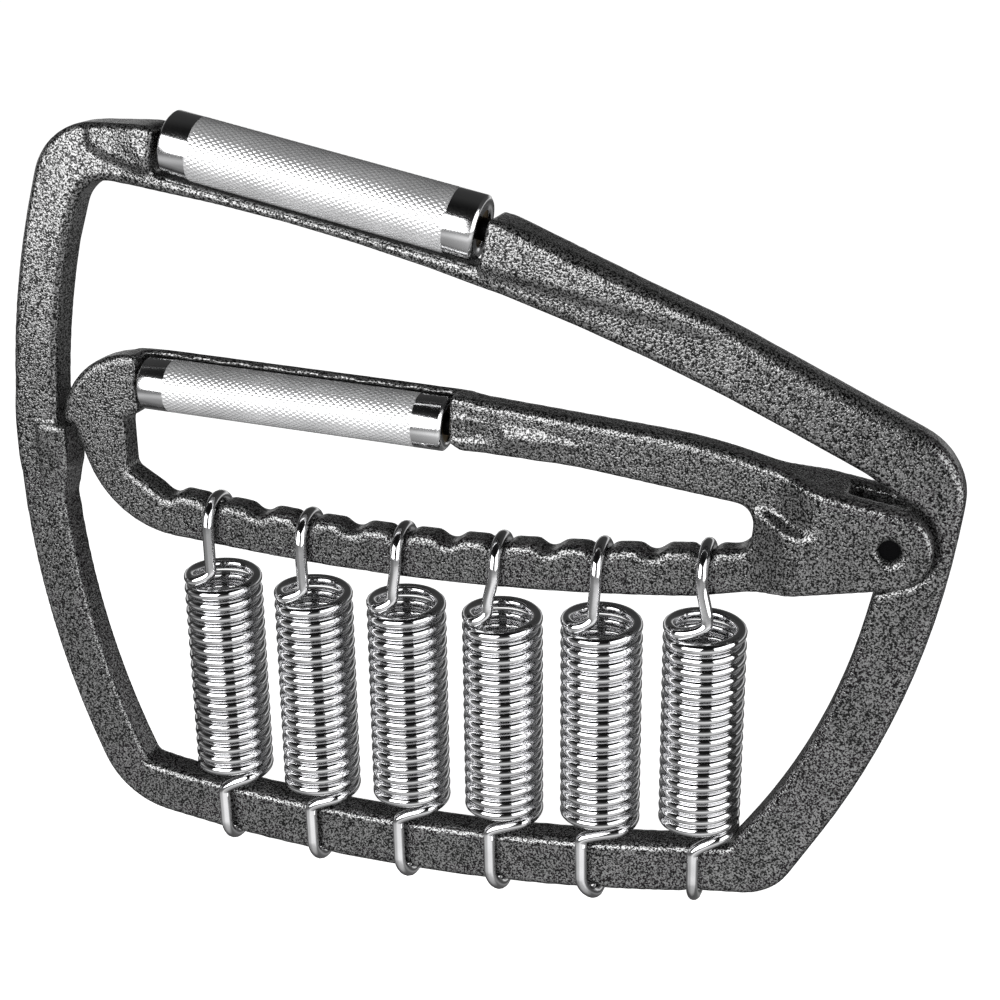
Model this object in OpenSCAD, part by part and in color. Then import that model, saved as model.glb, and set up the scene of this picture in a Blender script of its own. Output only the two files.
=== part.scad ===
// Finger exerciser: a palm frame and a finger lever hinged together and
// pulled apart by six extension springs. X runs along the grips, Z is up,
// the front faces -Y, and the origin is the middle of the palm grip.

/* [Palm frame] */
// Thickness of the palm frame, front to back
frame_t = 8.7; // [8:0.1:9]
// Width of the bowed arm that faces the lever's tip
arm_w = 11.6; // [10:0.1:14]
// How far the bosses round the palm axle stand out from the frame's faces
boss_rise = 1.8; // [1.2:0.1:2]

/* [Finger lever] */
// Thickness of the lever, front to back
lever_t = 7.5; // [7:0.1:8]
// Depth of the bar that the springs hook over
bar_depth = 11.3; // [9:0.1:12]
// Depth of the notches in the spring bar
notch_depth = 1.6; // [1:0.1:2]
// Width of the fork over its two cheeks
fork_w = 17.8; // [16:0.1:18.5]

/* [Hinge] */
// Radius of the fork cheeks round the hinge pin
cheek_r = 9; // [8.6:0.1:9]
// Radius of the hinge pin
pin_r = 2.4; // [2:0.1:3]
// Outer radius of the hinge bush
bush_r = 4; // [3.6:0.1:5]
// Radius of the tongue between the cheeks
tongue_r = 7; // [6.4:0.1:7.4]
// Thickness of the tongue between the cheeks
tongue_t = 6.6; // [6:0.1:7]

/* [Grips] */
// Length of the palm sleeve
palm_sleeve_len = 75.5; // [70:0.5:77]
// Radius of the palm sleeve
palm_sleeve_r = 7.4; // [7:0.1:7.5]
// Length of the finger sleeve
finger_sleeve_len = 76; // [70:0.5:77]
// Radius of the finger sleeve
finger_sleeve_r = 6.3; // [6:0.1:6.4]
// Radius of both axles
axle_r = 2.5; // [2.2:0.1:2.6]
// Outer radius of the bushes in the sleeves
sleeve_bush_r = 4.2; // [3.8:0.1:4.8]

/* [Springs] */
// Diameter of the spring wire
wire_d = 2.8; // [2.4:0.1:2.8]
// Outside diameter of a spring
spring_d = 19.1; // [18:0.1:19.5]
// Distance from one spring to the next
spring_pitch = 23.92; // [23.5:0.02:24.1]

/* [Hidden] */
$fn = 96;

run = 0.06;             // radial clearance of a running fit
gap = 0.3;              // room between pieces that pass each other
far = 60;               // longer than any cut needs
pin = [127.9, -69.8, 0];      // hinge centre, X and Z
palm = [0, 0];          // centre of the palm grip
palm_tilt = -12.3;      // slope of the palm grip, degrees
finger = [-10, -51];    // centre of the finger grip
finger_tilt = -2.9;     // slope of the finger grip, degrees
ledge_z = -60.6;        // top of the stop ledge
arm_in = 199.5;         // inner radius of the arm, about the hinge
arm_out = arm_in + arm_w;
first_spring_x = -31.5; // spring nearest the arm
first_notch_x = first_spring_x - spring_pitch / 2;
hook_r = 6.1;           // bend radius of the top hooks
foot_r = 6.5;           // bend radius of the bottom hooks
hook_len = 19.8;        // from the seat in the notch down to the coils
foot_len = 20.3;        // from the coils down to the seat under the base bar
bush_len = 12;          // length of a sleeve bush
lap = 0.4;              // how far a straight strand runs into a bend
boss_gap = 2;           // room between a palm boss and the sleeve's end
relief = 1.1;           // depth of the relief groove over the ledge
rib_t = 1.8;            // thickness of the curved rib behind the finger sleeve
lock_r = 1.2;           // radius of the pins that lock the axles
palm_lock_s = 42.2;     // place of the palm axle's lock pin along the grip
finger_lock_s = 46;     // place of the finger axle's lock pin along the grip

// Height of a bowed edge at x: its lowest point is [mid_x, low_z]
function bow(x, mid_x, low_z, r) = low_z + r - sqrt(r * r - (x - mid_x) * (x - mid_x));
function bar_top(x) = bow(x, 25, -79.3, 555);
function bar_under(x) = bar_top(x) - bar_depth;
function base_top(x) = bow(x, 15, -155.2, 476);
function base_under(x) = bow(x, 15, -168.6, 424);

// Points [x, z, 0] on a circle about the hinge, from angle a to angle b
function about_pin(r, a, b, step) =
    [for (t = [a:step:b]) [pin[0] + r * cos(t), pin[1] + r * sin(t), 0]];

// Middle of the wire where a hook or a foot crosses its bar
function hook_seat(x) = bar_top(x) - notch_depth + gap + wire_d / 2;
function foot_seat(x) = base_under(x) - gap - wire_d / 2;

// The arc that rounds corner b, between a and c, with radius r
function fillet(a, b, c, r) =
    let (
        u = (a - b) / norm(a - b),
        v = (c - b) / norm(c - b),
        half = acos(u * v) / 2,
        centre = b + (u + v) / norm(u + v) * r / sin(half),
        from = b + u * r / tan(half) - centre,
        side = u[0] * v[1] - u[1] * v[0] > 0 ? -1 : 1,
        sweep = side * (180 - 2 * half),
        steps = max(2, ceil(abs(sweep) / (r > 60 ? 2 : 9)))
    )
    [for (i = [0:steps])
        let (t = sweep * i / steps)
        centre + [from[0] * cos(t) - from[1] * sin(t), from[0] * sin(t) + from[1] * cos(t)]];

// A closed outline from corners [x, z, radius]
function rounded(list) =
    let (n = len(list), at = [for (p = list) [p[0], p[1]]])
    [for (i = [0:n - 1])
        each list[i][2] == 0 ? [at[i]]
            : fillet(at[(i + n - 1) % n], at[i], at[(i + 1) % n], list[i][2])];

frame_edge = rounded([
    [-67.5, 12.3, 17], [-41, 12.3, 30], [43.5, -5.4, 60], [95, -26.9, 300],
    [143.5, -50.3, 16], [136.6, -107.4, 200], [106.4, -159.9, 14],
    for (x = [92:-8:-40]) [x, base_under(x), 0],
    [-63.4, -161.6, 22],
    each about_pin(arm_out, 202, 161, -2.05)
]);
window_edge = rounded([
    [-58.6, 0, 9], [35.5, -13.1, 500], [121.4, -54.8, 1.5],
    pin + [3.6, 8.9, 0], pin + [2.7, -9.3, 0], [124.7, -81.3, 1],
    [116.8, -118.7, 150], [95.9, -148.5, 2],
    for (x = [88:-8:-48]) [x, base_top(x), 0],
    each about_pin(arm_in, 203.6, 162.4, -2.06)
]);
lever_edge = rounded([
    [-70.4, ledge_z + gap, 0.8], [-66.8, -42.6, 19], [-36, -41.2, 150], [30, -45.4, 200],
    [88, -51.1, 120], [112, -57.9, 60],
    each about_pin(cheek_r, 79.6, -73.4, -9),
    [108, -82.6, 25],
    for (x = [86:-8:-34]) [x, bar_under(x), 0],
    [-59.5, -85.4, 26], [-67.4, ledge_z + gap, 0.6]
]);

// The part of the lever whose flare into the fork starts later, above a sloping step
upper_part = [[-90, 0], [-90, -65.2], [99, -65.2], [102, -65.6], [106, -67.6], [109, -68.2],
              [150, -68.2], [150, 0]];

// Corners of one notch in the spring bar, right to left
function notch(x) =
    [for (c = [[3.2, 0], [1, 1], [-1, 1], [-3.2, 0]])
        [x + c[0], bar_top(x + c[0]) - c[1] * notch_depth, 0]];

// The opening that the fingers reach through, under the finger grip
loop_edge = rounded([
    [-53.4, -57.6, 0], [-49.2, -55.9, 0], [-49.2, -48.9, 0], [29.1, -53, 0], [29.1, -56.2, 0],
    [31.6, -58, 1], [58, -59.4, 100], [98.7, -64.9, 4.4], [97.8, -75.2, 4.2],
    for (i = [11:-1:0]) each notch(first_notch_x + i * spring_pitch / 2),
    [-53.4, -70.5, 2]
]);

// A 2-D shape in X and Z, made t thick about the middle plane
module slab(t) {
    rotate([90, 0, 0]) linear_extrude(t, center = true) children();
}

// A round bar along Y through [x, z]
module cross_bar(at, r, len) {
    translate([at[0], 0, at[1]]) rotate([90, 0, 0]) cylinder(r = r, h = len, center = true);
}

// Children drawn along +X, put on a grip's centre and slope
module on_grip(at, tilt) {
    translate([at[0], 0, at[1]]) rotate([0, -tilt, 0]) children();
}

// A round bar along X, from x0 to x1
module along(x0, x1, r) {
    translate([x0, 0, 0]) rotate([0, 90, 0]) cylinder(r = r, h = x1 - x0);
}

// A tube along X, from x0 to x1
module tube(x0, x1, r_in, r_out) {
    difference() {
        along(x0, x1, r_out);
        along(x0 - 1, x1 + 1, r_in);
    }
}

// A half turn of wire round [x, z], over the top or under the bottom
module wire_bend(x, z, bend_r, r, up) {
    translate([x, 0, z]) rotate([0, 0, 90]) rotate([90, 0, 0]) rotate([0, 0, up ? 0 : 180])
        rotate_extrude(angle = 180) translate([bend_r, 0]) circle(r = r, $fn = 32);
}

// ---- palm frame ----

module frame_flat() {
    difference() {
        polygon(frame_edge);
        polygon(window_edge);
    }
    // ledge that the lever's lip rests on
    polygon([[-76, ledge_z], [-69, ledge_z], [-69.4, -71], [-72.2, -83], [-76, -83]]);
}

module outer_frame() {
    color("dimgray") difference() {
        union() {
            slab(frame_t) frame_flat();
            slab(tongue_t) {
                translate([pin[0], pin[1]]) circle(r = tongue_r);
                translate([pin[0] + 1.2, pin[1] - 10]) square([10, 16]);
            }
            palm_bosses();
            ledge_pad();
        }
        for (side = [-1, 1])
            translate([0, side * (tongue_t + far) / 2, 0]) cross_bar(pin, cheek_r + 0.9, far);
        cross_bar(pin, bush_r, far);
        on_grip(palm, palm_tilt) {
            along(-palm_sleeve_len / 2 - boss_gap, palm_sleeve_len / 2 + boss_gap,
                  palm_sleeve_r + 0.5);
            along(-43, 45, axle_r);
        }
        lock_hole(palm, palm_tilt, palm_lock_s);
        for (side = [-1, 1])
            translate([-74, side * (frame_t / 2 + 5 - relief), ledge_z + 0.5])
                cube([6.4, 10, 1], center = true);
        for (i = [0:5]) {
            x = first_spring_x + i * spring_pitch;
            wire_bend(x, foot_seat(x) + foot_r, foot_r, wire_d / 2 + gap, false);
        }
    }
}

// Swellings round the ends of the palm axle, fading into the bar
module palm_bosses() {
    intersection() {
        for (side = [-1, 1]) {
            translate([92, 0, 0]) rotate([0, 0, -side * 1.9]) translate([-92, 0, 0])
                slab(frame_t) polygon([[37, 10], [37, -16], [92, -28], [92, 0]]);
            translate([-56, 0, 0]) rotate([0, 0, side * 4.5]) translate([56, 0, 0])
                slab(frame_t + 1.2)
                    polygon([[-36, 12.3], [-36, 1.2], [-44, 2.6], [-51, 5], [-55, 7.4], [-55, 12.3]]);
        }
        slab(frame_t + 2 * boss_rise) polygon(frame_edge);
    }
}

// Thicker faces under the ledge, fading out down the arm
module ledge_pad() {
    out = frame_t / 2 + 0.9;
    flush = frame_t / 2 - 0.1;
    intersection() {
        translate([-76.5, 0, ledge_z]) rotate([0, 90, 0]) linear_extrude(7.6)
            polygon([[0, out], [20, flush], [20, -flush], [0, -out]]);
        slab(far) frame_flat();
    }
}

// ---- finger lever ----

module lever_frame() {
    color("dimgray") difference() {
        union() {
            lever_bar();
            sleeve_rib();
        }
        translate([pin[0] - cheek_r - 0.5, -tongue_t / 2 - gap, -100]) cube([40, tongue_t + 2 * gap, 60]);
        cross_bar(pin, pin_r, far);
        on_grip(finger, finger_tilt) {
            along(-39.2, 39.2, finger_sleeve_r + gap);
            along(-50.5, 52, axle_r);
        }
        lock_hole(finger, finger_tilt, finger_lock_s);
        for (i = [0:5]) {
            x = first_spring_x + i * spring_pitch;
            wire_bend(x, hook_seat(x) - hook_r, hook_r, wire_d / 2 + gap, true);
        }
    }
}

// The lever's bar and fork, open over the finger sleeve
module lever_bar() {
    difference() {
        intersection() {
            slab(fork_w) difference() {
                polygon(lever_edge);
                polygon(loop_edge);
            }
            union() {
                intersection() {
                    slab(fork_w) polygon(upper_part);
                    fork_plan(103.2, 112);
                }
                difference() {
                    fork_plan(98.6, 107);
                    slab(far) polygon(upper_part);
                }
            }
        }
        on_grip(finger, finger_tilt) translate([-39.2, -far / 2, 0]) cube([78.4, far, 20]);
    }
}

// A curved rib that joins the two ends of the bar, behind and over the finger sleeve
module sleeve_rib() {
    inner = finger_sleeve_r + gap;
    intersection() {
        slab(far) polygon(lever_edge);
        on_grip(finger, finger_tilt) intersection() {
            along(-43, 43, inner + rib_t);
            rotate([90, 0, 90]) linear_extrude(90, center = true)
                polygon([[0, -1], [9, -1], [9, inner + 4], [0, inner]]);
        }
    }
}

// The lever seen from above: a thin bar that flares out, from x0 to x1, into the fork
module fork_plan(x0, x1) {
    bar = lever_t / 2;
    fork = fork_w / 2;
    translate([0, 0, -100]) linear_extrude(80) polygon(rounded([
        [-90, bar, 0], [x0, bar, 8], [x1, fork, 8], [150, fork, 0],
        [150, -fork, 0], [x1, -fork, 8], [x0, -bar, 8], [-90, -bar, 0]
    ]));
}

// ---- pins, axles, bushes and sleeves ----

module lock_hole(at, tilt, s) {
    on_grip(at, tilt) translate([s, 2, 0]) rotate([-90, 0, 0])
        translate([0, 0, -5]) cylinder(r = lock_r, h = far, $fn = 32);
}

module lock_pin(at, tilt, s, back) {
    color("silver") on_grip(at, tilt) translate([s, back - 6.2, 0]) rotate([-90, 0, 0])
        cylinder(r = lock_r, h = 6, $fn = 32);
}

module hinge_pin() {
    color("gray") cross_bar(pin, pin_r, fork_w - 3.4);
}

module hinge_bush() {
    color("goldenrod") difference() {
        cross_bar(pin, bush_r, tongue_t);
        cross_bar(pin, pin_r + run, far);
    }
}

module palm_axle() {
    color("gray") difference() {
        on_grip(palm, palm_tilt) along(-43, 44.5, axle_r);
        lock_hole(palm, palm_tilt, palm_lock_s);
    }
}

module finger_axle() {
    color("gray") difference() {
        on_grip(finger, finger_tilt) along(-50, 51.5, axle_r);
        lock_hole(finger, finger_tilt, finger_lock_s);
    }
}

module palm_axle_pin() {
    lock_pin(palm, palm_tilt, palm_lock_s, frame_t / 2 + boss_rise - 0.2);
}

module finger_axle_pin() {
    lock_pin(finger, finger_tilt, finger_lock_s, lever_t / 2);
}

// A bush inside one end of a sleeve: side is -1 for the left end, 1 for the right
module sleeve_bush(at, tilt, sleeve_len, side) {
    color("goldenrod") on_grip(at, tilt) {
        outer = sleeve_len / 2 - 0.5;
        start = side < 0 ? -outer : outer - bush_len;
        tube(start, start + bush_len, axle_r + run, sleeve_bush_r);
    }
}

module palm_bush_left() { sleeve_bush(palm, palm_tilt, palm_sleeve_len, -1); }
module palm_bush_right() { sleeve_bush(palm, palm_tilt, palm_sleeve_len, 1); }
module finger_bush_left() { sleeve_bush(finger, finger_tilt, finger_sleeve_len, -1); }
module finger_bush_right() { sleeve_bush(finger, finger_tilt, finger_sleeve_len, 1); }

// A grip sleeve with chamfered ends
module sleeve(at, tilt, len, r) {
    bevel = 0.7;
    half = len / 2;
    color("gainsboro") on_grip(at, tilt) rotate([0, 90, 0]) rotate_extrude()
        polygon([
            [sleeve_bush_r, -half], [r - bevel, -half], [r, bevel - half],
            [r, half - bevel], [r - bevel, half], [sleeve_bush_r, half]
        ]);
}

module palm_sleeve() { sleeve(palm, palm_tilt, palm_sleeve_len, palm_sleeve_r); }
module finger_sleeve() { sleeve(finger, finger_tilt, finger_sleeve_len, finger_sleeve_r); }

// ---- springs ----

// One spring: its close-wound coils as a tube, a hook over the lever and a foot under the frame
module spring(i) {
    x = first_spring_x + i * spring_pitch;
    top = hook_seat(x);
    foot = foot_seat(x);
    low = foot + foot_len;
    high = top - hook_len;
    color("silver") {
        translate([x, 0, low]) difference() {
            cylinder(d = spring_d, h = high - low);
            translate([0, 0, -1]) cylinder(d = spring_d - 2 * wire_d, h = high - low + 2);
        }
        wire_bend(x, top - hook_r, hook_r, wire_d / 2, true);
        wire_bend(x, foot + foot_r, foot_r, wire_d / 2, false);
        strand(x, -hook_r, high - wire_d, top - hook_r + lap);
        strand(x, hook_r, top - hook_r - 3, top - hook_r + lap);
        strand(x, -foot_r, foot + foot_r - lap, low + wire_d);
        strand(x, foot_r, foot + foot_r - lap, foot + foot_r + 2);
    }
}

// A straight length of wire from z0 up to z1, a little thinner than the bends it runs into
module strand(x, y, z0, z1) {
    translate([x, y, z0]) cylinder(r = wire_d / 2 - 0.05, h = z1 - z0, $fn = 32);
}

outer_frame();
lever_frame();
hinge_pin();
hinge_bush();
palm_axle();
palm_axle_pin();
palm_bush_left();
palm_bush_right();
palm_sleeve();
finger_axle();
finger_axle_pin();
finger_bush_left();
finger_bush_right();
finger_sleeve();
spring(0);  // spring_1
spring(1);  // spring_2
spring(2);  // spring_3
spring(3);  // spring_4
spring(4);  // spring_5
spring(5);  // spring_6
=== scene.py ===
"""Looks of the finger exerciser: castings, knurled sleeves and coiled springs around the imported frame."""

import math

import bpy
import numpy as np
import openvdb as vdb
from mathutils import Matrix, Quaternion, Vector


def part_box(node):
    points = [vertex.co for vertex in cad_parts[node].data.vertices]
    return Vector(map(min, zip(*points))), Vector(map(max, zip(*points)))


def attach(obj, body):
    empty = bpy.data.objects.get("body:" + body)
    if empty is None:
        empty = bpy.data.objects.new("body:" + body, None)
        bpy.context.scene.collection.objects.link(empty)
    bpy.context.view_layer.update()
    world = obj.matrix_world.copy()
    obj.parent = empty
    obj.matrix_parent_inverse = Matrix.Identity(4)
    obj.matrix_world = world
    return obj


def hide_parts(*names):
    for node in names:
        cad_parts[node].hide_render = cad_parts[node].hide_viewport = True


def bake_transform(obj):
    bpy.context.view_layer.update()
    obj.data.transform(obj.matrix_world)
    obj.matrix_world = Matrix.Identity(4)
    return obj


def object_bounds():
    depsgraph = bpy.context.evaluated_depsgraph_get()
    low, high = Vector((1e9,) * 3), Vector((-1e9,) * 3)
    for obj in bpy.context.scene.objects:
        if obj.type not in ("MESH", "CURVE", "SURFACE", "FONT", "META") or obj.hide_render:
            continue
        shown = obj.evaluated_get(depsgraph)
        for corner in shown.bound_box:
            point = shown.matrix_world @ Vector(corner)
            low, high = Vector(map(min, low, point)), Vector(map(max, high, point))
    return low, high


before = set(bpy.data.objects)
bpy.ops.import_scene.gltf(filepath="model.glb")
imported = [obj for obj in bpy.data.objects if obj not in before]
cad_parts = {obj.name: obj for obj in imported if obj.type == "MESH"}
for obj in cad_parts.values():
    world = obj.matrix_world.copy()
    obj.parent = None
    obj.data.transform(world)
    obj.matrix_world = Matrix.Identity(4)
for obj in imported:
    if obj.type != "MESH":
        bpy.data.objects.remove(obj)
cad_low, cad_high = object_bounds()

MM = 0.001

# Castings, all in millimetres
VOXEL = 0.45
REACH = 2.5  # how far a field is measured beyond the radius it is rounded with
EDGE_R = 1.25  # rounding of the cast edges
FORK_EDGE_R = 0.9  # crisper rounding on the fork and its seat
RIB_EDGE_R = 0.4  # rounding on the thin rib over the finger sleeve and at the stop ledge
SOFT_EDGE_R = 2.4  # soft top edge of the swelling beside the palm sleeve
FILLET_R = 0.7  # rounding of the cast inner corners
AXLE_FILL_R = 2.7  # closes the axle's holes, a little wider than they are

# Hinge, grips and sleeves
HINGE = (127.9, -69.8)
PALM, PALM_SLOPE = (0.0, 0.0), 12.3
FINGER, FINGER_SLOPE = (-10.0, -51.0), 2.9
PALM_SLEEVE = (75.5, 7.4)  # length, radius
FINGER_SLEEVE = (76.0, 6.3)
SLEEVE_BORE = 4.2
KNURL_PITCH, KNURL_LEAD = 1.1, 1.75  # size of a diamond round the sleeve and along it
KNURL_DEPTH = 0.13
PLAIN_END = 7.0  # smooth band at each end of a sleeve

# Springs
WIRE_R = 1.4
COIL_R = 8.13
HOOK_R, FOOT_R = 6.1, 6.5
HOOK_LEN, FOOT_LEN = 19.8, 20.3
TURNS = 18
# each spring's own bends: how far its hook and its foot lean to +X, how much its coil
# reaches over and under the nominal length, and how far its foot drops before the corner
HOOK_LEANS = (0.0, 0.2, -1.0, -1.7, -0.5, 1.6)
FOOT_LEANS = (-0.3, -0.5, -1.2, -1.7, -2.7, 0.1)
COIL_OVER = (0.0, 0.3, 1.5, 1.0, 1.3, 0.6)
COIL_UNDER = (1.6, 1.5, 0.1, 0.5, 0.9, 2.2)
FOOT_DROPS = (4.2, 3.5, 3.9, 3.5, 3.2, 4.6)
FOOT_STANDOFF = 0.17  # how far a leaning foot stands out, for each millimetre of its lean
SPRING_NAMES = [f"spring_{number + 1}" for number in range(6)]

# Camera, in degrees, metres and millimetres of lens
AIM = Vector((0.040, 0.0, -0.070))
CAMERA_AZIMUTH, CAMERA_ELEVATION, CAMERA_ROLL = 18, 20, -0.62
CAMERA_DISTANCE = 0.3949
LENS, SENSOR = 62.46, 36.0


# ---------- meshes ----------


def new_piece(name, points, quads, body, finish, replaced):
    """A smooth mesh from points in millimetres and quads, riding on a body and standing for a CAD node."""
    mesh = bpy.data.meshes.new(name)
    mesh.vertices.add(len(points))
    mesh.vertices.foreach_set("co", (np.asarray(points) * MM).astype(np.float32).ravel())
    mesh.loops.add(quads.size)
    mesh.loops.foreach_set("vertex_index", quads.astype(np.int32).ravel())
    mesh.polygons.add(len(quads))
    mesh.polygons.foreach_set("loop_start", np.arange(0, quads.size, 4, dtype=np.int32))
    mesh.update(calc_edges=True)
    mesh.shade_smooth()
    mesh.materials.append(finish)
    obj = bpy.data.objects.new(name, mesh)
    bpy.context.scene.collection.objects.link(obj)
    if body:
        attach(obj, body)
    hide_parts(replaced)
    return obj


def node_triangles(node):
    """Points in millimetres and triangles of a CAD node."""
    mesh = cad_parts[node].data
    mesh.calc_loop_triangles()
    points = np.empty(len(mesh.vertices) * 3, np.float32)
    mesh.vertices.foreach_get("co", points)
    triangles = np.empty(len(mesh.loop_triangles) * 3, np.int32)
    mesh.loop_triangles.foreach_get("vertices", triangles)
    return points.reshape(-1, 3) / MM, triangles.reshape(-1, 3)


def outward(points, quads):
    """The quads, turned round if they face inward."""
    a, b, c, d = (points[quads[:, i]] for i in range(4))
    halves = (np.cross(b, c), np.cross(c, d))
    volume = sum(np.einsum("ij,ij->i", a, half).sum() for half in halves)
    return quads if volume > 0 else quads[:, ::-1]


# ---------- castings, shaped as distance fields ----------


class Space:
    """A block of voxels round a CAD node, for distance fields as numpy arrays."""

    def __init__(self, node, margin=4.0):
        low, high = (np.array(corner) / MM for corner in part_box(node))
        self.first = np.floor((low - margin) / VOXEL).astype(int)
        self.shape = tuple(np.ceil((high + margin) / VOXEL).astype(int) - self.first + 1)
        self.x, self.y, self.z = (
            ((self.first[i] + np.arange(self.shape[i])) * VOXEL)
            .reshape([-1 if i == j else 1 for j in range(3)])
            for i in range(3)
        )

    def field(self, points, reach, triangles=None, quads=None):
        """Distance to a closed mesh, negative inside, cut off at reach."""
        grid = vdb.FloatGrid.createLevelSetFromPolygons(
            points.astype(np.float32),
            triangles=triangles,
            quads=quads,
            transform=vdb.createLinearTransform(voxelSize=VOXEL),
            halfWidth=reach / VOXEL,
        )
        values = np.empty(self.shape, np.float32)
        grid.copyToArray(values, ijk=tuple(int(i) for i in self.first))
        return values

    def surface(self, values, level=0.0):
        """Points and quads of a field's surface at a level."""
        grid = vdb.FloatGrid(float(values.max()))
        grid.copyFromArray(values, ijk=tuple(int(i) for i in self.first))
        grid.transform = vdb.createLinearTransform(voxelSize=VOXEL)
        grid.gridClass = vdb.GridClass.LEVEL_SET
        points, quads = grid.convertToQuads(isovalue=level)
        return points, outward(points, quads)

    def joined(self, values, *more):
        """The field of several overlapping shapes as one, measured again from its surface."""
        for other in more:
            values = np.minimum(values, other)
        points, quads = self.surface(values)
        return self.field(points, EDGE_R + REACH, quads=quads)

    def opened(self, values, r):
        """The field with its outer edges rounded to radius r."""
        points, quads = self.surface(values, -r)
        return self.field(points, r + REACH, quads=quads) - r

    def closed(self, values, r):
        """The field with its inner corners rounded to radius r."""
        points, quads = self.surface(values, r)
        return self.field(points, r + REACH, quads=quads) + r

    def along(self, centre, slope):
        """Distance along a grip's axis from its centre, for every voxel."""
        a = math.radians(slope)
        return (self.x - centre[0]) * math.cos(a) - (self.z - centre[1]) * math.sin(a)

    def bar(self, centre, slope, start, end, r):
        """Distance to a round bar along a grip's axis, from start to end."""
        s, up = self.along(centre, slope), self.above(centre, slope)
        return np.maximum(np.sqrt(up**2 + self.y**2) - r, np.maximum(start - s, s - end)).astype(np.float32)

    def above(self, centre, slope):
        """Height over a grip's axis, for every voxel."""
        a = math.radians(slope)
        return (self.x - centre[0]) * math.sin(a) + (self.z - centre[1]) * math.cos(a)

    def outline(self, values):
        """The casting's outline seen from the front, as a distance at every voxel."""
        middle = int(np.argmin(abs(self.y.ravel())))
        return values[:, middle : middle + 1, :]


def ease(values, a, b):
    """0 before a and 1 after b, smooth in between."""
    t = np.clip((values - a) / (b - a), 0, 1)
    return t * t * (3 - 2 * t)


def palm_lens(space, raw):
    """The swelling left of the palm sleeve: blunt at its nose and full at the sleeve."""
    s, up = space.along(PALM, PALM_SLOPE), space.above(PALM, PALM_SLOPE)
    reach = np.clip((-42 - s) / 18, 0, 0.99)
    half = 7.2 * np.sqrt(1 - reach**2)  # how far the swelling reaches under the axis
    rise = 0.5 + 2.2 * (1 - np.clip((-40 - s) / 16, 0, 1))
    section = np.sqrt(np.clip(1 - (np.minimum(up, 0) / half) ** 2, 0, 1))
    face = (abs(space.y) - 4.2 - rise * section) * 0.8
    ends = np.maximum(np.maximum(s + 39.8, -55.4 - space.x), -up - half)
    return np.maximum(np.maximum(face, ends), space.outline(raw)).astype(np.float32)


def outer_frame_surface():
    """Points and quads of the palm frame's casting."""
    space = Space("outer_frame")
    points, triangles = node_triangles("outer_frame")
    raw = space.field(points, EDGE_R + REACH, triangles=triangles)
    # the axle fills its holes
    spans = ((-44, -39.9), (39.9, 46))
    ends = [space.bar(PALM, PALM_SLOPE, start, end, AXLE_FILL_R) for start, end in spans]
    raw = space.joined(raw, *ends, palm_lens(space, raw))
    values = space.opened(raw, EDGE_R)
    # finer edges along the rib under the palm sleeve and round the hinge
    beside = 1 - ease(abs(space.along(PALM, PALM_SLOPE)), 39.5, 46)
    beside = beside * ease(space.z, -45, -38)
    hinge = 1 - ease(np.hypot(space.x - HINGE[0], space.z - HINGE[1]), 11.5, 16)
    values += (space.opened(raw, FORK_EDGE_R) - values) * np.maximum(beside, hinge)
    # a soft top edge right of the sleeve, fading down the slope
    under_top = -5.4 - (space.x - 43.5) * 0.4175 - space.z
    soft = ease(space.x, 43, 52) * (1 - ease(space.x, 66, 92)) * (1 - ease(under_top, 3.5, 6))
    # and along the outer edge at the corner over the hinge
    under_slope = -26.9 - (space.x - 95) * 0.4825 - space.z
    left_of_side = 143.5 + (space.z + 50.3) * 0.1208 - space.x
    inside = np.minimum(under_slope, left_of_side)
    corner = ease(space.x, 92, 104) * ease(space.z, -58, -52) * (1 - ease(inside, 3, 5.5))
    soft = np.maximum(soft, corner)
    values += (space.opened(raw, SOFT_EDGE_R) - values) * soft
    # crisp edges and groove at the stop ledge
    ledge = (1 - ease(space.x, -67, -65)) * (1 - ease(abs(space.z + 63), 6, 12))
    values += (space.opened(raw, RIB_EDGE_R) - values) * ledge
    filled = space.closed(values, FILLET_R)
    values = filled + (values - filled) * ledge
    return space.surface(values)


def lever_surface():
    """Points and quads of the finger lever's casting."""
    space = Space("lever_frame")
    points, triangles = node_triangles("lever_frame")
    raw = space.field(points, EDGE_R + REACH, triangles=triangles)
    spans = ((-51, -39.4), (39.4, 53))
    ends = [space.bar(FINGER, FINGER_SLOPE, start, end, AXLE_FILL_R) for start, end in spans]
    # a swelling right of the sleeve, running out along the bar
    s, up = space.along(FINGER, FINGER_SLOPE), space.above(FINGER, FINGER_SLOPE)
    cone = np.hypot(up, space.y) - (5.1 - 1.35 * (s - 39.4) / 34)
    cone = np.maximum(np.maximum(cone, 39.4 - s), s - 74)
    raw = space.joined(raw, *ends, np.maximum(cone, space.outline(raw)).astype(np.float32))
    values = space.opened(raw, EDGE_R)
    values += (space.opened(raw, FORK_EDGE_R) - values) * ease(space.x, 98, 108)
    rib = (1 - ease(abs(s), 42, 48)) * ease(space.z, -60, -57)
    values += (space.opened(raw, RIB_EDGE_R) - values) * rib
    filled = space.closed(values, FILLET_R)
    return space.surface(filled + (values - filled) * rib)


# ---------- sleeves ----------


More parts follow.
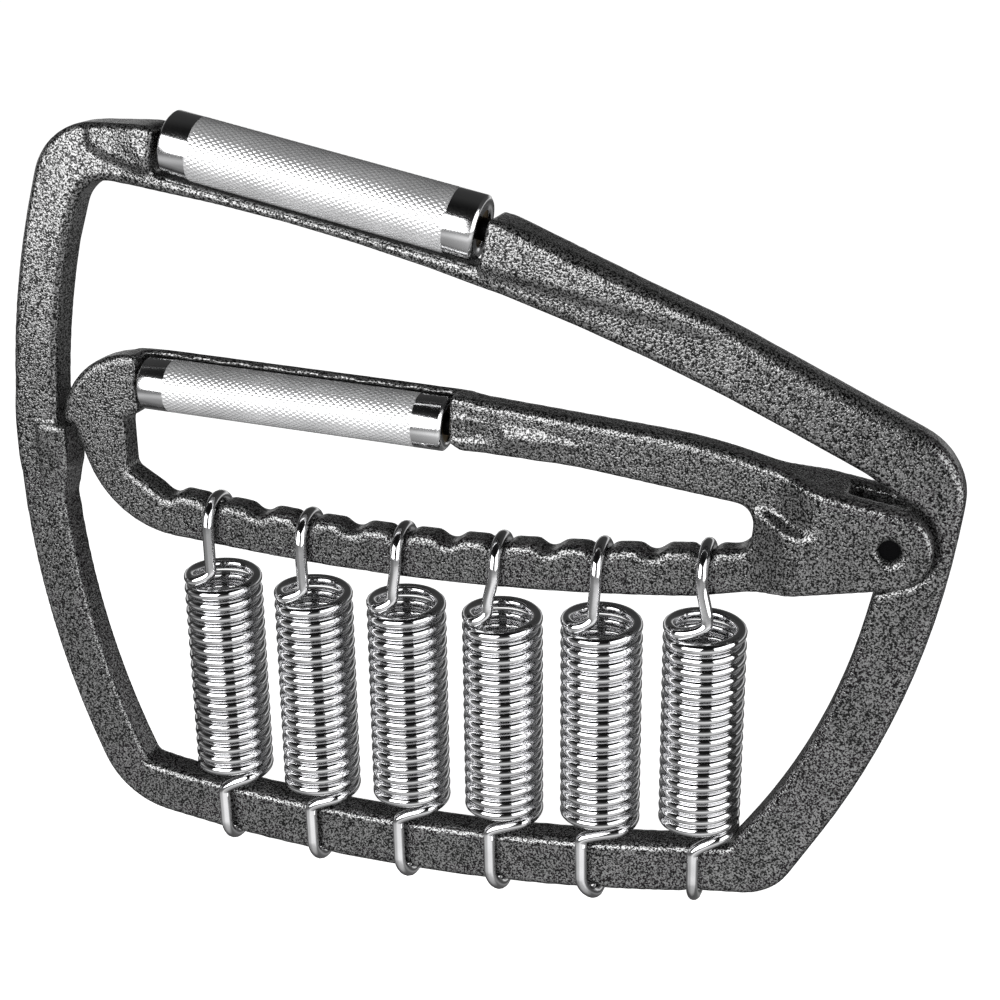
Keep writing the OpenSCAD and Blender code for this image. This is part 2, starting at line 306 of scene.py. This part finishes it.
def sleeve_surface(centre, slope, length, radius):
    """A tube with diamond knurling between two plain bands, bevelled ends and an open bore."""
    across = round(2 * math.pi * radius / KNURL_PITCH)  # diamonds round the sleeve
    columns = across * 8
    angle = np.arange(columns) * 2 * math.pi / columns
    half = length / 2
    knurled = half - PLAIN_END
    step = KNURL_LEAD / 8
    middle = np.linspace(-knurled, knurled, round(2 * knurled / step) + 1)
    ring_s = [-half + 0.6, -half, -half, -half + 0.12, -half + 0.6, -half + 0.75, -knurled - 0.1]
    ring_r = [SLEEVE_BORE, SLEEVE_BORE + 0.05, radius - 0.75, radius - 0.6, radius - 0.06, radius, radius]
    s = np.array(ring_s + list(middle) + [-v for v in reversed(ring_s)])
    r = np.array(ring_r + [radius] * len(middle) + list(reversed(ring_r)))
    radii = np.repeat(r[:, None], columns, 1)
    # two crossing sets of grooves, fading in over the first diamond
    turn = angle[None, :] * across
    lead = s[:, None] * 2 * math.pi / KNURL_LEAD
    cut = np.maximum(np.cos(turn + lead), np.cos(turn - lead))
    fade = ease(knurled - abs(s), -0.05, 0.35)[:, None]
    radii -= KNURL_DEPTH * np.clip(cut + 0.1, 0, 1.1) / 1.1 * fade * (abs(s) <= knurled)[:, None]
    a = math.radians(slope)
    side, up = radii * np.sin(angle), radii * np.cos(angle)
    along = np.repeat(s[:, None], columns, 1)
    x = centre[0] + along * math.cos(a) + up * math.sin(a)
    z = centre[1] - along * math.sin(a) + up * math.cos(a)
    points = np.stack([x, side, z], -1).reshape(-1, 3)
    rows = len(s)
    i, j = np.meshgrid(np.arange(rows), np.arange(columns), indexing="ij")
    n, m = (i + 1) % rows, (j + 1) % columns  # the last ring joins the first, through the bore
    corners = [i * columns + j, i * columns + m, n * columns + m, n * columns + j]
    quads = np.stack(corners, -1).reshape(-1, 4)
    knurl = (i >= len(ring_s)) & (i < len(ring_s) + len(middle) - 1)
    return points, outward(points, quads), knurl.ravel()


# ---------- springs ----------


def curve_between(p0, d0, p1, d1, steps):
    """Points on a smooth curve from p0, leaving along d0, to p1, arriving along d1; p1 isn't included."""
    t = (np.arange(steps) / steps)[:, None]
    p0, d0, p1, d1 = (np.array(v, float) for v in (p0, d0, p1, d1))
    return (
        (2 * t**3 - 3 * t**2 + 1) * p0 + (t**3 - 2 * t**2 + t) * d0
        + (3 * t**2 - 2 * t**3) * p1 + (t**3 - t**2) * d1
    )


def wire_path(node, hook_lean, foot_lean, over, under, foot_drop):
    """The middle of a spring's wire, from the hook's free end down to the foot's."""
    low, high = (np.array(corner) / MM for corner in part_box(node))
    x = (low[0] + high[0]) / 2
    top, foot = high[2] - WIRE_R, low[2] + WIRE_R
    coil_top, coil_low = top - HOOK_LEN - 0.2 + over, foot + FOOT_LEN + 0.2 - under
    parts = []
    # hook: up behind the lever, over it and down its front
    rise = (0, 0, 3)
    parts.append(curve_between((x, HOOK_R, top - HOOK_R - 3), rise, (x, HOOK_R, top - HOOK_R), rise, 3))
    bend = np.linspace(0, math.pi, 20)[:-1]
    parts.append(np.stack([x + 0 * bend, HOOK_R * np.cos(bend), top - HOOK_R + HOOK_R * np.sin(bend)], -1))
    lean_x = x + hook_lean
    strand_end = (lean_x, -HOOK_R, coil_top + 3.2)
    drop = top - HOOK_R - strand_end[2]
    parts.append(curve_between((x, -HOOK_R, top - HOOK_R), (0, 0, -drop), strand_end, (0, 0, -drop), 8))
    start, end = math.radians(228), math.radians(322)
    sweep = 2 * math.pi * TURNS - (end - start)
    count = 64 * TURNS
    phi = start - sweep * np.arange(count) / (count - 1)
    lifted = 0.5 * np.sin(np.clip((start - phi) / 2, 0, math.pi)) ** 2  # the end turn stands a little open
    coil = np.stack(
        [x + COIL_R * np.cos(phi), COIL_R * np.sin(phi), np.linspace(coil_top, coil_low, count) + lifted], -1
    )
    inward = np.array([math.sin(start), -math.cos(start), -0.03])
    parts.append(curve_between(strand_end, (0, 0, -6.0), coil[0], inward * 6.0, 14))
    parts.append(coil)
    # foot: from the coil's front right down the frame's face, under it and up behind
    leave = np.array([math.sin(phi[-1]), -math.cos(phi[-1]), -0.25])
    foot_x = x + foot_lean
    front = FOOT_R + FOOT_STANDOFF * abs(foot_lean)  # clear of the edge beside its groove
    strand_top = (foot_x, -front - 0.2, coil_low - foot_drop)
    parts.append(curve_between(coil[-1], leave * 5.5, strand_top, (0, 0, -5.0), 16)[1:])
    drop = strand_top[2] - foot - FOOT_R
    bend_start = (foot_x, -front, foot + FOOT_R)
    parts.append(curve_between(strand_top, (0, 0, -drop), bend_start, (0, 0, -drop), 6))
    bend = np.linspace(math.pi, 2 * math.pi, 20)[:-1]
    bend_x = foot_x + (x - foot_x) * ease(bend, math.pi, 1.45 * math.pi)
    bend_r = front + (FOOT_R - front) * ease(bend, 1.3 * math.pi, 1.5 * math.pi)
    parts.append(np.stack([bend_x, bend_r * np.cos(bend), foot + FOOT_R + bend_r * np.sin(bend)], -1))
    rise = (0, 0, 2)
    foot_end = (x, FOOT_R, foot + FOOT_R + 2)
    tail = curve_between((x, FOOT_R, foot + FOOT_R), rise, foot_end, rise, 2)
    parts.append(np.vstack([tail, [foot_end]]))
    return np.vstack(parts), coil_low, coil_top, x


def wire_surface(path, radius, sides=14):
    """A round wire along a path, with closed, slightly rounded ends."""
    step = np.gradient(path, axis=0)
    tangent = step / np.linalg.norm(step, axis=1)[:, None]
    normal = np.empty_like(tangent)
    normal[0] = (1, 0, 0)
    for i in range(1, len(path)):
        n = normal[i - 1] - tangent[i] * np.dot(normal[i - 1], tangent[i])
        normal[i] = n / np.linalg.norm(n)
    other = np.cross(tangent, normal)
    angle = np.arange(sides) * 2 * math.pi / sides
    ring = normal[:, None] * np.cos(angle)[:, None] + other[:, None] * np.sin(angle)[:, None]
    centres, rings, radii = list(path), list(ring), [radius] * len(path)
    for first, sign in ((0, -1), (len(path) - 1, 1)):
        for out, share in ((0.25, 0.85), (0.3, 0.05)):
            place = path[first] + tangent[first] * sign * out
            if sign < 0:
                centres.insert(0, place), rings.insert(0, ring[first]), radii.insert(0, radius * share)
            else:
                centres.append(place), rings.append(ring[first]), radii.append(radius * share)
    centres, rings, radii = np.array(centres), np.array(rings), np.array(radii)
    points = (centres[:, None] + rings * radii[:, None, None]).reshape(-1, 3)
    rows = len(centres)
    i, j = np.meshgrid(np.arange(rows - 1), np.arange(sides), indexing="ij")
    m = (j + 1) % sides
    corners = [i * sides + j, i * sides + m, (i + 1) * sides + m, (i + 1) * sides + j]
    quads = np.stack(corners, -1).reshape(-1, 4)
    caps = []
    for base in (0, (rows - 1) * sides):  # small quads close the two ends
        last = base + sides - 1
        caps += [(base + k, base + k + 1, last - 1 - k, last - k) for k in range(sides // 2 - 1)]
    quads = outward(points, quads)
    start, end = np.array(caps[: len(caps) // 2]), np.array(caps[len(caps) // 2 :])
    a, b, c = (points[start[0][k]] for k in range(3))
    if np.dot(np.cross(b - a, c - a), tangent[0]) > 0:
        start, end = start[:, ::-1], end
    else:
        end = end[:, ::-1]
    return points, np.vstack([quads, start, end])


# ---------- materials ----------


def material(name):
    """A node material and helpers to add to it."""
    made = bpy.data.materials.new(name)
    made.use_nodes = True
    return made, made.node_tree.nodes, made.node_tree.links


def add(nodes, kind, **values):
    """A new node with its inputs, or its settings, at these values."""
    node = nodes.new(kind)
    for key, value in values.items():
        if key in node.inputs:
            node.inputs[key].default_value = value
        else:
            setattr(node, key, value)
    return node


def ramp(nodes, stops):
    """A colour ramp through (place, grey or colour) stops."""
    node = nodes.new("ShaderNodeValToRGB")
    elements = node.color_ramp.elements
    while len(elements) < len(stops):
        elements.new(0.5)
    for element, (place, value) in zip(elements, stops):
        element.position = place
        element.color = (*value, 1) if isinstance(value, tuple) else (value, value, value, 1)
    return node


def hammered_paint():
    """Glossy dark paint that has drawn up into small bright and dark cells."""
    made, nodes, links = material("hammered_paint")
    shader = nodes["Principled BSDF"]
    shader.inputs["Metallic"].default_value = 0.75
    place = nodes.new("ShaderNodeTexCoord")
    grain = add(nodes, "ShaderNodeTexNoise", Scale=2450.0, Detail=0.0, Roughness=0.5, Distortion=0.6)
    blotch = add(nodes, "ShaderNodeTexNoise", Scale=120.0, Detail=3.0, Roughness=0.6)
    links.new(place.outputs["Object"], grain.inputs["Vector"])
    links.new(place.outputs["Object"], blotch.inputs["Vector"])
    tint = ramp(nodes, [(0.37, 0.012), (0.46, 0.08), (0.53, 0.22), (0.65, 0.38)])
    links.new(grain.outputs["Fac"], tint.inputs["Fac"])
    shade = ramp(nodes, [(0.3, 0.8), (0.7, 1.0)])
    links.new(blotch.outputs["Fac"], shade.inputs["Fac"])
    mix = add(nodes, "ShaderNodeMix", data_type="RGBA", blend_type="MULTIPLY")
    mix.inputs["Factor"].default_value = 1.0
    links.new(tint.outputs["Color"], mix.inputs["A"])
    links.new(shade.outputs["Color"], mix.inputs["B"])
    links.new(mix.outputs["Result"], shader.inputs["Base Color"])
    rough = ramp(nodes, [(0.3, 0.13), (0.7, 0.22)])
    links.new(grain.outputs["Fac"], rough.inputs["Fac"])
    links.new(rough.outputs["Color"], shader.inputs["Roughness"])
    bump = add(nodes, "ShaderNodeBump", Strength=0.35, Distance=0.0002)
    links.new(grain.outputs["Fac"], bump.inputs["Height"])
    links.new(bump.outputs["Normal"], shader.inputs["Normal"])
    return made


def metal(name, colour, roughness, grain_scale, grain_bump, metallic=1.0):
    """A bare metal with fine machining grain and slight colour changes."""
    made, nodes, links = material(name)
    shader = nodes["Principled BSDF"]
    shader.inputs["Metallic"].default_value = metallic
    place = nodes.new("ShaderNodeTexCoord")
    grain = add(nodes, "ShaderNodeTexNoise", Scale=grain_scale, Detail=4.0, Roughness=0.6)
    links.new(place.outputs["Object"], grain.inputs["Vector"])
    cloud = add(nodes, "ShaderNodeTexNoise", Scale=90.0, Detail=2.0)
    links.new(place.outputs["Object"], cloud.inputs["Vector"])
    tint = ramp(nodes, [(0.3, tuple(c * 0.84 for c in colour)), (0.65, colour)])
    links.new(cloud.outputs["Fac"], tint.inputs["Fac"])
    links.new(tint.outputs["Color"], shader.inputs["Base Color"])
    rough = ramp(nodes, [(0.3, max(0.02, roughness * 0.75)), (0.7, roughness * 1.3)])
    links.new(grain.outputs["Fac"], rough.inputs["Fac"])
    links.new(rough.outputs["Color"], shader.inputs["Roughness"])
    bump = add(nodes, "ShaderNodeBump", Strength=grain_bump, Distance=0.00005)
    links.new(grain.outputs["Fac"], bump.inputs["Height"])
    links.new(bump.outputs["Normal"], shader.inputs["Normal"])
    return made


paint = hammered_paint()
chrome = metal("spring_chrome", (0.86, 0.86, 0.87), 0.09, 2500.0, 0.1)
polished = metal("sleeve_aluminium", (0.9, 0.9, 0.91), 0.14, 3000.0, 0.12)
knurled = metal("knurled_aluminium", (0.93, 0.93, 0.94), 0.24, 3000.0, 0.12, metallic=0.65)
# the pin steel is coloured nearly black: painted shade, standing in for the dark inside the hinge pin's
# recessed hole rather than the colour of steel
steel_black_as_hole_shade = metal("pin_steel", (0.006, 0.006, 0.0065), 0.5, 2500.0, 0.3)
bronze = metal("bush_bronze", (0.3, 0.22, 0.12), 0.4, 2500.0, 0.3)

# ---------- pieces ----------

points, quads = outer_frame_surface()
new_piece("palm_frame_casting", points, quads, "palm_frame", paint, "outer_frame")
points, quads = lever_surface()
new_piece("finger_lever_casting", points, quads, "finger_lever", paint, "lever_frame")

# each sleeve is polished, and its knurled part duller
for name, centre, slope, size in (
    ("palm", PALM, PALM_SLOPE, PALM_SLEEVE),
    ("finger", FINGER, FINGER_SLOPE, FINGER_SLEEVE),
):
    points, quads, knurl = sleeve_surface(centre, slope, *size)
    piece = new_piece(
        f"{name}_knurled_sleeve", points, quads, f"{name}_roller", polished,
        f"{name}_sleeve",
    )
    piece.data.materials.append(knurled)
    piece.data.polygons.foreach_set("material_index", knurl.astype(np.int32))

for node, *shape in zip(SPRING_NAMES, HOOK_LEANS, FOOT_LEANS, COIL_OVER, COIL_UNDER, FOOT_DROPS):
    path, coil_low, coil_top, x = wire_path(node, *shape)
    points, quads = wire_surface(path, WIRE_R)
    piece = new_piece(f"coiled_{node}", points, quads, None, chrome, node)
    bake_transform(piece)

for names, finish in (
    # pins and axles take the nearly black steel, whose colour is painted shade of the pin's hole
    (("hinge_pin", "palm_axle", "finger_axle", "palm_axle_pin", "finger_axle_pin"), steel_black_as_hole_shade),
    (
        ("hinge_bush", "palm_bush_left", "palm_bush_right", "finger_bush_left", "finger_bush_right"),
        bronze,
    ),
):
    for name in names:
        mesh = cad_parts[name].data
        mesh.materials.clear()
        mesh.materials.append(finish)

# ---------- stage, lights and camera ----------


def direction(azimuth, elevation):
    """The way out from the object to a camera or lamp at these angles in degrees."""
    a, e = math.radians(azimuth), math.radians(elevation)
    return Vector((math.sin(a) * math.cos(e), -math.cos(a) * math.cos(e), math.sin(e)))


def floor():
    """A white floor with a round white wall, far off."""
    radius, sides = 5.0, 48
    mesh = bpy.data.meshes.new("floor")
    z = cad_low.z - 0.0004
    turns = [2 * math.pi * i / sides for i in range(sides)]
    foot = [(radius * math.cos(t), radius * math.sin(t), z) for t in turns]
    top = [(x, y, z + 4.0) for x, y, _ in foot]
    wall = [(i, (i + 1) % sides, sides + (i + 1) % sides, sides + i) for i in range(sides)]
    mesh.from_pydata(foot + top, [], [tuple(range(sides))] + wall)
    made, nodes, links = material("floor_white")
    shader = nodes["Principled BSDF"]
    shader.inputs["Base Color"].default_value = (0.9, 0.9, 0.9, 1)
    shader.inputs["Roughness"].default_value = 0.9
    shader.inputs["Specular IOR Level"].default_value = 0.0
    shader.inputs["Emission Color"].default_value = (1, 1, 1, 1)
    shader.inputs["Emission Strength"].default_value = 1.0
    mesh.materials.append(made)
    obj = bpy.data.objects.new("floor", mesh)
    bpy.context.scene.collection.objects.link(obj)
    obj.visible_diffuse = obj.visible_glossy = obj.visible_shadow = False  # the sky stands for its light


def softbox(name, azimuth, elevation, distance, width, height, radiance):
    """A rectangular area light aimed at the object; its place, width and height are in degrees."""
    back = direction(azimuth, elevation)
    data = bpy.data.lights.new(name, "AREA")
    data.shape = "RECTANGLE"
    data.size = 2 * distance * math.tan(math.radians(width / 2))
    data.size_y = 2 * distance * math.tan(math.radians(height / 2))
    data.energy = radiance * math.pi * data.size * data.size_y
    obj = bpy.data.objects.new(name, data)
    obj.location = AIM + back * distance
    obj.rotation_mode = "QUATERNION"
    obj.rotation_quaternion = back.to_track_quat("Z", "Y")
    obj.visible_camera = False
    bpy.context.scene.collection.objects.link(obj)


def remap(nodes, links, source, from_range, to_range=(0.0, 1.0), smooth=False):
    """A node's output carried from one range to another."""
    node = add(nodes, "ShaderNodeMapRange", interpolation_type="SMOOTHSTEP" if smooth else "LINEAR")
    node.inputs["From Min"].default_value, node.inputs["From Max"].default_value = from_range
    node.inputs["To Min"].default_value, node.inputs["To Max"].default_value = to_range
    links.new(source, node.inputs["Value"])
    return node


def sky():
    """A pale band round the horizon, dark overhead, and dim towards the front, where the softboxes are."""
    world = bpy.data.worlds.new("studio")
    bpy.context.scene.world = world
    world.use_nodes = True
    nodes, links = world.node_tree.nodes, world.node_tree.links
    place = nodes.new("ShaderNodeTexCoord")
    split = nodes.new("ShaderNodeSeparateXYZ")
    links.new(place.outputs["Generated"], split.inputs["Vector"])
    height = remap(nodes, links, split.outputs["Z"], (-1.0, 1.0))
    bands = ramp(nodes, [
        (0.0, 0.3), (0.15, 0.45), (0.225, 0.85), (0.265, 0.75), (0.31, 0.35), (0.375, 0.22),
        (0.45, 0.3), (0.5, 0.85), (0.56, 0.35), (0.62, 0.06), (1.0, 0.03),
    ])
    links.new(height.outputs["Result"], bands.inputs["Fac"])
    depth = remap(nodes, links, split.outputs["Y"], (-0.5, 0.3), (0.15, 1.0), smooth=True)
    # the floor is brightest in front, to the right of the object
    near = remap(nodes, links, split.outputs["Y"], (-0.35, 0.15), (1.0, 0.25), smooth=True)
    right = remap(nodes, links, split.outputs["X"], (-0.5, 0.0), (0.65, 1.2))
    ground = add(nodes, "ShaderNodeMath", operation="MULTIPLY")
    links.new(near.outputs["Result"], ground.inputs[0])
    links.new(right.outputs["Result"], ground.inputs[1])
    low = ramp(nodes, [(0.4, 1.0), (0.47, 0.0)])
    links.new(height.outputs["Result"], low.inputs["Fac"])
    strength = add(nodes, "ShaderNodeMix", data_type="FLOAT")
    links.new(low.outputs["Color"], strength.inputs["Factor"])
    links.new(depth.outputs["Result"], strength.inputs["A"])
    links.new(ground.outputs["Value"], strength.inputs["B"])
    links.new(bands.outputs["Color"], nodes["Background"].inputs["Color"])
    links.new(strength.outputs["Result"], nodes["Background"].inputs["Strength"])


def camera():
    """The scene's camera, looking at AIM from the front right and a little above."""
    back = direction(CAMERA_AZIMUTH, CAMERA_ELEVATION)
    data = bpy.data.cameras.new("camera")
    data.sensor_width, data.lens = SENSOR, LENS
    data.clip_start, data.clip_end = 0.01, 50
    obj = bpy.data.objects.new("camera", data)
    obj.location = AIM + back * CAMERA_DISTANCE
    obj.rotation_mode = "QUATERNION"
    turn = (-back).to_track_quat("-Z", "Y")
    turn.rotate(Quaternion(back, math.radians(CAMERA_ROLL)))
    obj.rotation_quaternion = turn
    bpy.context.scene.collection.objects.link(obj)
    bpy.context.scene.camera = obj


floor()
sky()
softbox("left_softbox", -24, 13, 0.8, 52, 42, 4.2)
softbox("right_softbox", 66, 9, 0.9, 58, 48, 2.2)
camera()
bpy.context.scene.view_settings.view_transform = "Standard"
